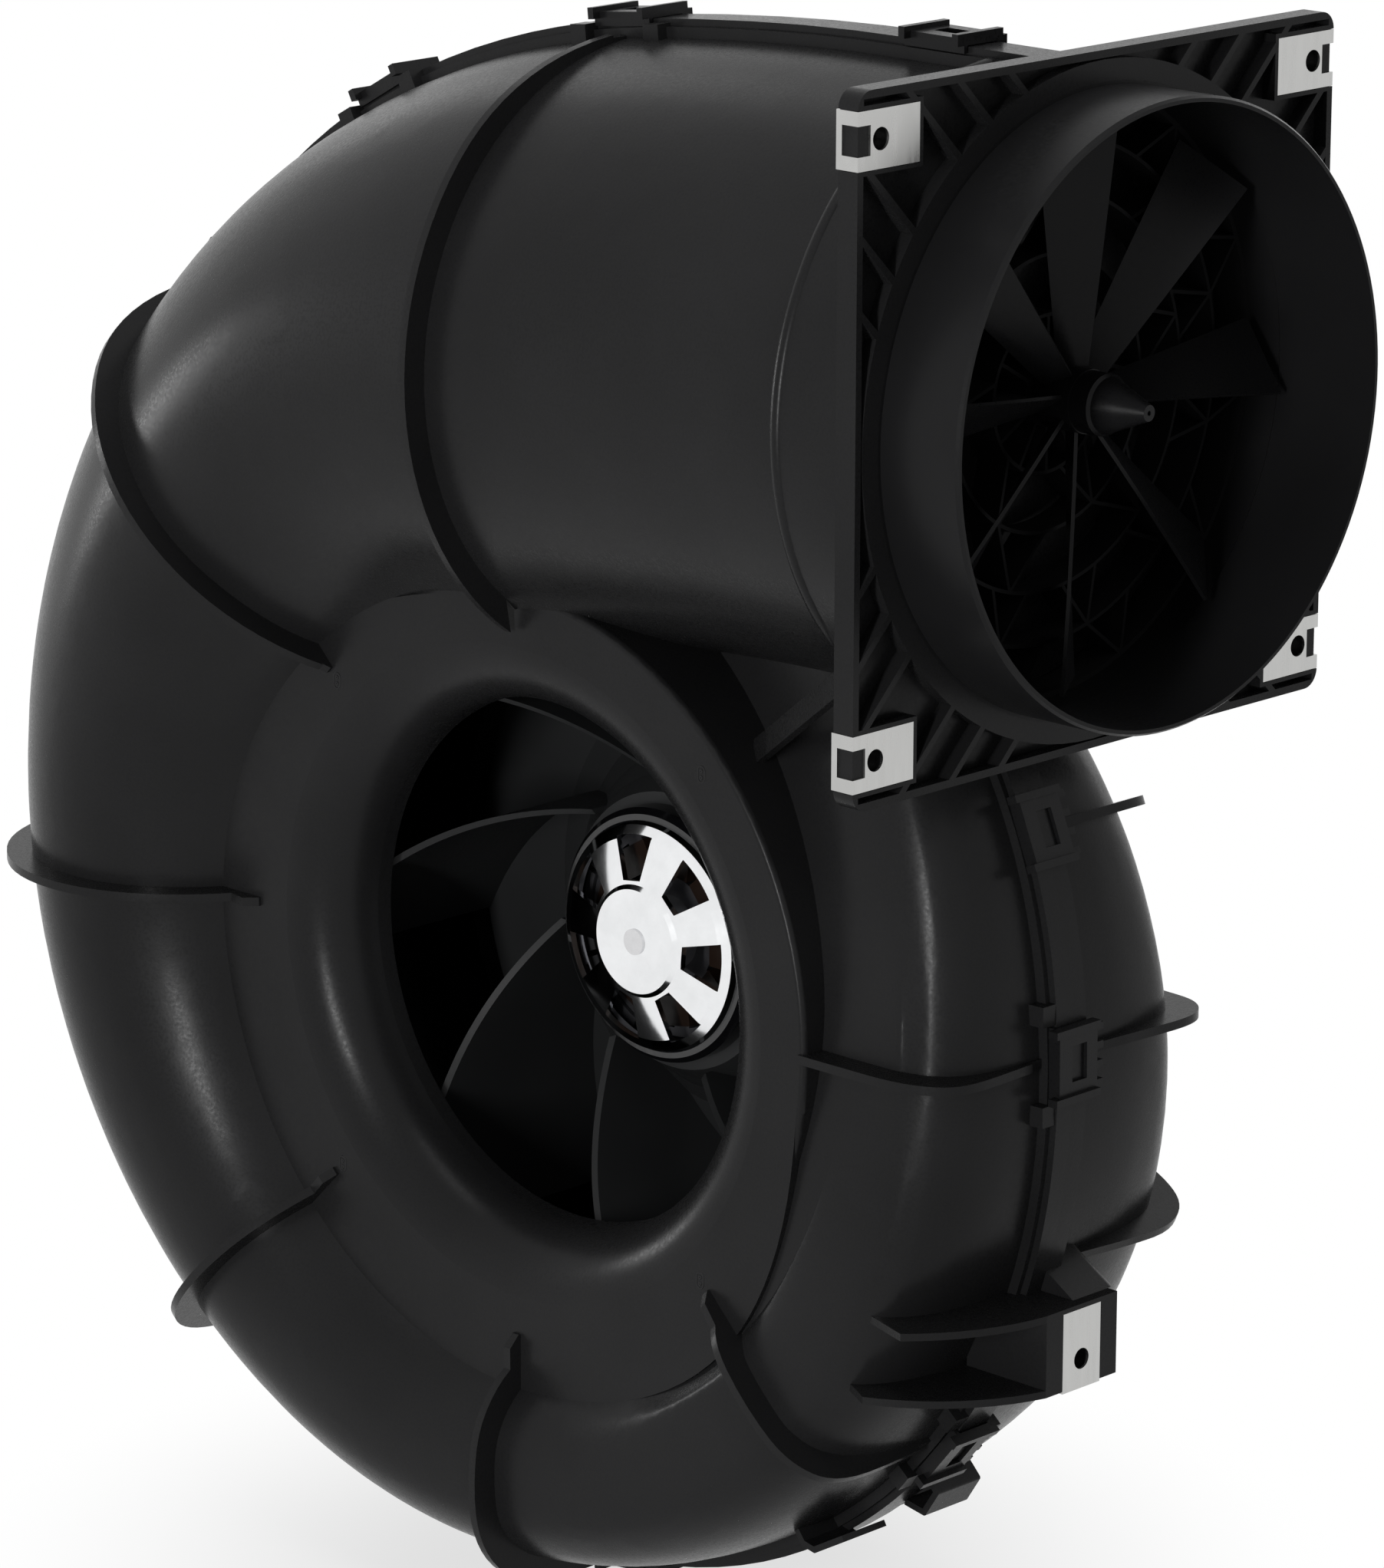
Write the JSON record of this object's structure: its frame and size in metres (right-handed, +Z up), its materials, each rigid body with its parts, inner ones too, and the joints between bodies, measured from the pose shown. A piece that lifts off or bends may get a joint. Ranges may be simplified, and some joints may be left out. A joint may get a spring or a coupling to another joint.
{
  "type": "centrifugal fan",
  "caption": "Backward-curved centrifugal fan with external-rotor motor in a moulded scroll casing, with round outlet collar, flow grid and vane anemometer.",
  "frame": {"origin": "centre of the square outlet flange's front face, on the outlet duct's axis", "axes": "+X is the way the air leaves through the outlet, -Y is the side the inlet faces, +Y is the motor's side, +Z is up"},
  "size_m": [0.4974, 0.23, 0.5506],
  "materials": {
    "casing_plastic": "fine moulded grain",
    "collar_plastic": "smooth matt",
    "grid_plastic": "smooth matt",
    "wheel_plastic": "smooth satin",
    "axle_steel": "ground",
    "impeller_plastic": "smooth satin",
    "rotor_steel": "black gloss",
    "cap_metal": "bright pressed",
    "magnet_ferrite": "dull",
    "core_steel": "stacked sheet",
    "winding_copper": "enamelled wire",
    "bearing_steel": "polished",
    "motor_aluminium": "die-cast",
    "screw_steel": "zinc plated",
    "board_laminate": "solder resist",
    "capacitor_can": "sleeved can",
    "cover_plastic": "smooth matt",
    "gland_plastic": "smooth",
    "clip_plastic": "smooth",
    "nut_steel": "bright spring steel"
  },
  "bodies": {
    "housing": {"casing_front": "casing_plastic", "casing_rear": "casing_plastic", "outlet_collar": "collar_plastic", "flow_grid": "grid_plastic", "anemometer_axle": "axle_steel", "stator_core": "core_steel", "stator_windings": "winding_copper", "shaft_bearings": "bearing_steel", "motor_flange": "motor_aluminium", "motor_screws": "screw_steel", "electronics_housing": "motor_aluminium", "circuit_board": "board_laminate", "capacitors": "capacitor_can", "electronics_cover": "cover_plastic", "cover_screws": "screw_steel", "cable_gland": "gland_plastic", "seam_clips": "clip_plastic", "spring_nuts": "nut_steel"},
    "impeller": {"impeller_hub": "impeller_plastic", "impeller_blades": "impeller_plastic", "impeller_shroud": "impeller_plastic", "rotor_shell": "rotor_steel", "rotor_cap": "cap_metal", "rotor_magnets": "magnet_ferrite", "motor_shaft": "axle_steel"},
    "vane_wheel": {"anemometer_wheel": "wheel_plastic", "nose_cone": "wheel_plastic"}
  },
  "joints": [
    {"name": "impeller_spin", "type": "hinge", "parent": "housing", "child": "impeller", "pos_m": [-0.198, 0, -0.214], "axis": [0, 1, 0], "continuous": true},
    {"name": "vane_wheel_spin", "type": "hinge", "parent": "housing", "child": "vane_wheel", "pos_m": [-0.007, 0, 0], "axis": [1, 0, 0], "continuous": true}
  ]
}
